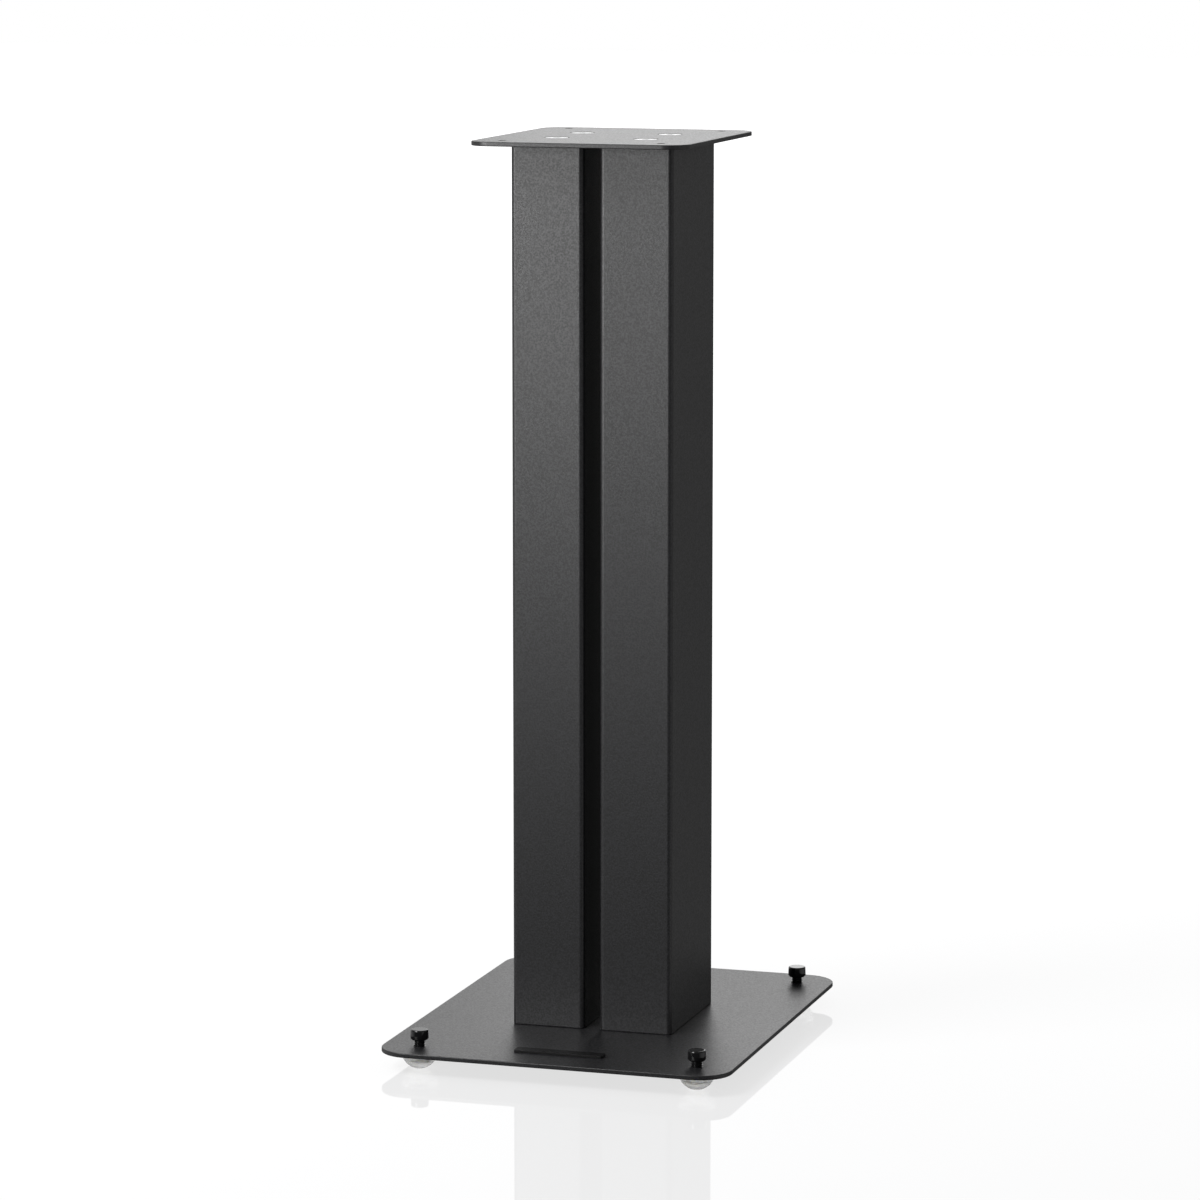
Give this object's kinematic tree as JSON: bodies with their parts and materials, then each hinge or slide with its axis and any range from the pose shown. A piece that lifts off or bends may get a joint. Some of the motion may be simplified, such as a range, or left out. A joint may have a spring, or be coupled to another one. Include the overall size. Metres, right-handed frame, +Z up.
{
  "type": "speaker stand",
  "caption": "Floor stand for a loudspeaker: box columns side by side between a wide base plate and a small top plate, levelled by screws that stand in soft domed pads.",
  "frame": {"origin": "on the floor, under the middle of the base plate", "axes": "+Z up, +X to the right seen from the front, +Y to the back; the badge strip is at the front, on the -Y side"},
  "size_m": [0.24, 0.3, 0.61],
  "materials": {
    "powder_coat": "fine satin black powder coat on steel",
    "bare_steel": "cut and drilled bar, uncoated",
    "plated_steel": "bright zinc plate",
    "black_screw": "gloss black over turned steel",
    "badge": "plain satin black strip",
    "nylon": "natural moulded nylon",
    "silicone": "milky translucent moulded silicone"
  },
  "bodies": {
    "stand": {"base_plate": "powder_coat", "top_plate": "powder_coat", "left_column": "powder_coat", "right_column": "powder_coat", "left_column_top_block": "bare_steel", "left_column_bottom_block": "bare_steel", "right_column_top_block": "bare_steel", "right_column_bottom_block": "bare_steel", "top_bolts": "plated_steel", "base_bolts": "plated_steel", "badge_strip": "badge", "front_left_foot_nut": "powder_coat", "front_right_foot_nut": "powder_coat", "back_left_foot_nut": "powder_coat", "back_right_foot_nut": "powder_coat"},
    "front_left_pad": {"front_left_foot_seat": "nylon", "front_left_foot_pad": "silicone"},
    "front_right_pad": {"front_right_foot_seat": "nylon", "front_right_foot_pad": "silicone"},
    "back_left_pad": {"back_left_foot_seat": "nylon", "back_left_foot_pad": "silicone"},
    "back_right_pad": {"back_right_foot_seat": "nylon", "back_right_foot_pad": "silicone"},
    "front_left_screw": {"front_left_foot_screw": "black_screw"},
    "front_right_screw": {"front_right_foot_screw": "black_screw"},
    "back_left_screw": {"back_left_foot_screw": "black_screw"},
    "back_right_screw": {"back_right_foot_screw": "black_screw"}
  },
  "joints": [
    {"name": "front_left_foot_height", "type": "slide", "parent": "stand", "child": "front_left_pad", "axis": [0, 0, -1], "range_m": [0, 0.00375]},
    {"name": "front_right_foot_height", "type": "slide", "parent": "stand", "child": "front_right_pad", "axis": [0, 0, -1], "range_m": [0, 0.00375]},
    {"name": "back_left_foot_height", "type": "slide", "parent": "stand", "child": "back_left_pad", "axis": [0, 0, -1], "range_m": [0, 0.00375]},
    {"name": "back_right_foot_height", "type": "slide", "parent": "stand", "child": "back_right_pad", "axis": [0, 0, -1], "range_m": [0, 0.00375]},
    {"name": "front_left_foot_turn", "type": "hinge", "parent": "front_left_pad", "child": "front_left_screw", "pos_m": [-0.0955, -0.1255, 0.015], "axis": [0, 0, -1], "range_deg": [0, 1080]},
    {"name": "front_right_foot_turn", "type": "hinge", "parent": "front_right_pad", "child": "front_right_screw", "pos_m": [0.0955, -0.1255, 0.015], "axis": [0, 0, -1], "range_deg": [0, 1080]},
    {"name": "back_left_foot_turn", "type": "hinge", "parent": "back_left_pad", "child": "back_left_screw", "pos_m": [-0.0955, 0.1255, 0.015], "axis": [0, 0, -1], "range_deg": [0, 1080]},
    {"name": "back_right_foot_turn", "type": "hinge", "parent": "back_right_pad", "child": "back_right_screw", "pos_m": [0.0955, 0.1255, 0.015], "axis": [0, 0, -1], "range_deg": [0, 1080]}
  ],
  "couplings": [
    {"joint": "front_left_foot_height", "follows": "front_left_foot_turn", "m_per_rad": 0.00019894},
    {"joint": "front_right_foot_height", "follows": "front_right_foot_turn", "m_per_rad": 0.00019894},
    {"joint": "back_left_foot_height", "follows": "back_left_foot_turn", "m_per_rad": 0.00019894},
    {"joint": "back_right_foot_height", "follows": "back_right_foot_turn", "m_per_rad": 0.00019894}
  ]
}
